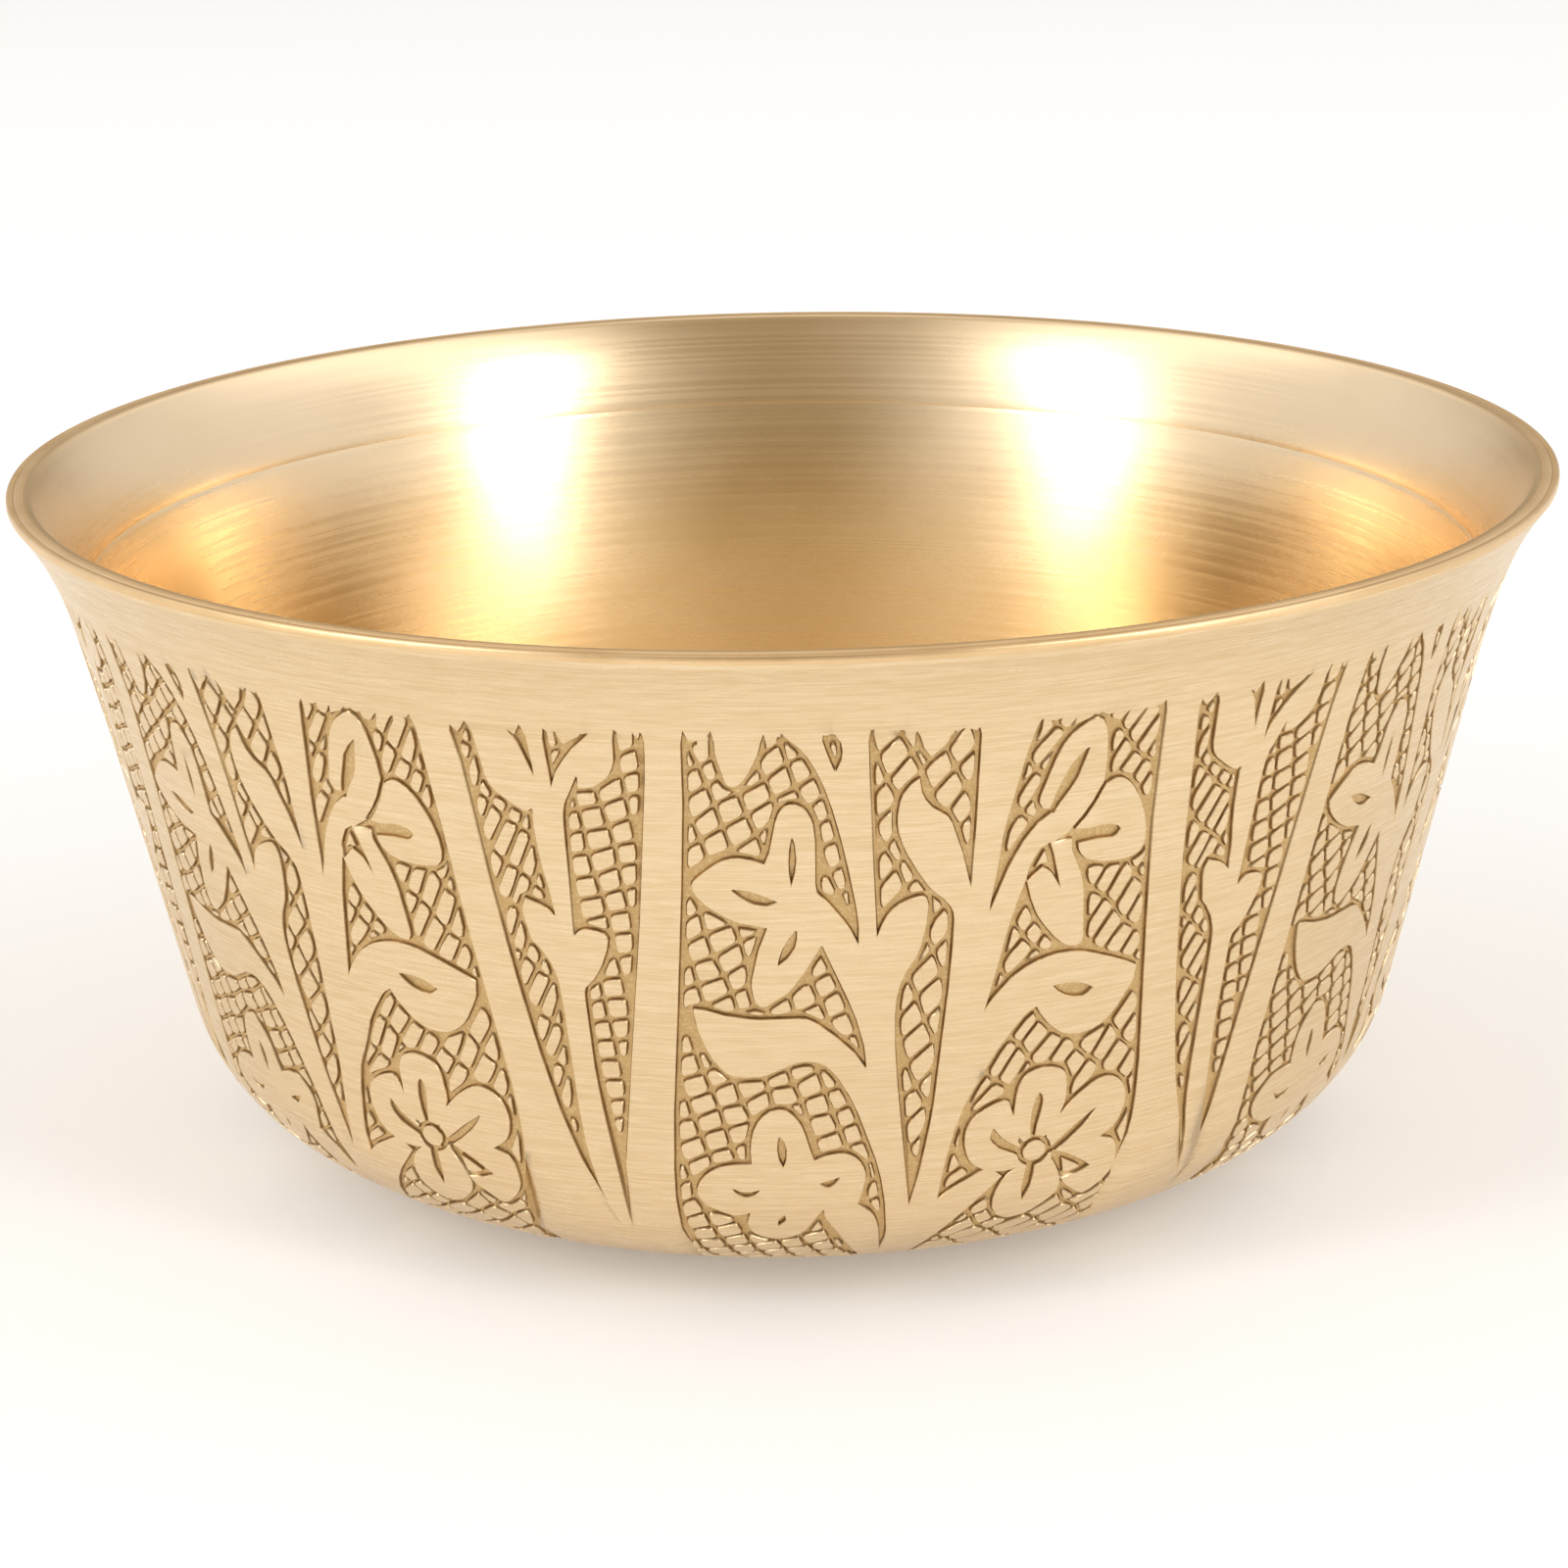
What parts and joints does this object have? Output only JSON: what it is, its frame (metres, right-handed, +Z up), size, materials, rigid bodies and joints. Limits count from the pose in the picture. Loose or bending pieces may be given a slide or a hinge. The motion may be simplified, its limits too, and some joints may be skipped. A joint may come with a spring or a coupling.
{
  "type": "engraved brass bowl",
  "caption": "Round cast brass bowl with a flared lip, a tapered engraved side, a smooth turned inside and a flat base.",
  "frame": {"origin": "centre of the flat base, in the plane that the bowl stands on", "axes": "+Z up along the bowl's own axis, out of its mouth; X and Y are level and the bowl is round about Z"},
  "size_m": [0.12, 0.12, 0.053],
  "materials": {
    "brass": "satin brushed brass outside with matt etched lines, polished turned brass inside"
  },
  "bodies": {
    "root": {"bowl": "brass"}
  },
  "joints": []
}
